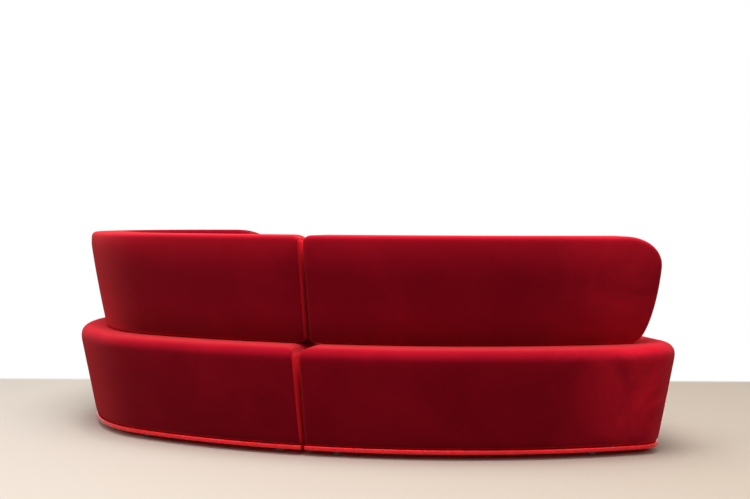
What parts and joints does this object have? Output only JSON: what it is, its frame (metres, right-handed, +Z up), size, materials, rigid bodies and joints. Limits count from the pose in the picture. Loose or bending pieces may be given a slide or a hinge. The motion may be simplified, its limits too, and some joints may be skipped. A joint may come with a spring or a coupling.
{
  "type": "curved sofa",
  "caption": "Low curved sofa in linked upholstered modules: flared base on a thin lacquered board, crowned seat, leaning back that wraps a half-round end.",
  "frame": {"origin": "centre of the bounding box at the floor", "axes": "+Z up, +X to the right seen from the rear, +Y from the backs towards the open front of the seat"},
  "size_m": [2.0648, 1.2284, 0.7],
  "materials": {
    "velvet": "short-pile crimson velvet",
    "foam": "upholstery foam, hidden",
    "plywood": "raw birch plywood, hidden",
    "lacquer": "high-gloss red lacquer on board",
    "webbing": "woven elastic webbing, hidden",
    "black_steel": "black powder coat",
    "zinc_steel": "bright zinc plate",
    "nylon": "moulded pale grey nylon"
  },
  "bodies": {
    "root": {"left_base_board": "lacquer", "left_wall_panel": "plywood", "left_wall_pad": "foam", "left_deck": "plywood", "left_webbing": "webbing", "left_seat_foam": "foam", "left_base_cover": "velvet", "left_back_core": "plywood", "left_back_foam": "foam", "left_back_cover": "velvet", "left_rib_1": "plywood", "left_rib_2": "plywood", "left_bracket_1": "black_steel", "left_bracket_2": "black_steel", "left_bracket_3": "black_steel", "left_deck_bolt_1": "zinc_steel", "left_deck_bolt_2": "zinc_steel", "left_deck_bolt_3": "zinc_steel", "left_core_bolt_1": "zinc_steel", "left_core_bolt_2": "zinc_steel", "left_core_bolt_3": "zinc_steel", "left_glide_1": "nylon", "left_glide_2": "nylon", "left_glide_3": "nylon", "left_glide_4": "nylon", "left_glide_5": "nylon", "left_glide_screw_1": "zinc_steel", "left_glide_screw_2": "zinc_steel", "left_glide_screw_3": "zinc_steel", "left_glide_screw_4": "zinc_steel", "left_glide_screw_5": "zinc_steel", "right_base_board": "lacquer", "right_wall_panel": "plywood", "right_wall_pad": "foam", "right_deck": "plywood", "right_webbing": "webbing", "right_seat_foam": "foam", "right_base_cover": "velvet", "right_back_core": "plywood", "right_back_foam": "foam", "right_back_cover": "velvet", "right_rib_1": "plywood", "right_rib_2": "plywood", "right_bracket_1": "black_steel", "right_bracket_2": "black_steel", "right_deck_bolt_1": "zinc_steel", "right_deck_bolt_2": "zinc_steel", "right_core_bolt_1": "zinc_steel", "right_core_bolt_2": "zinc_steel", "right_glide_1": "nylon", "right_glide_2": "nylon", "right_glide_3": "nylon", "right_glide_4": "nylon", "right_glide_screw_1": "zinc_steel", "right_glide_screw_2": "zinc_steel", "right_glide_screw_3": "zinc_steel", "right_glide_screw_4": "zinc_steel", "link_plate": "black_steel", "left_link_bolt": "zinc_steel", "right_link_bolt": "zinc_steel"}
  },
  "joints": []
}
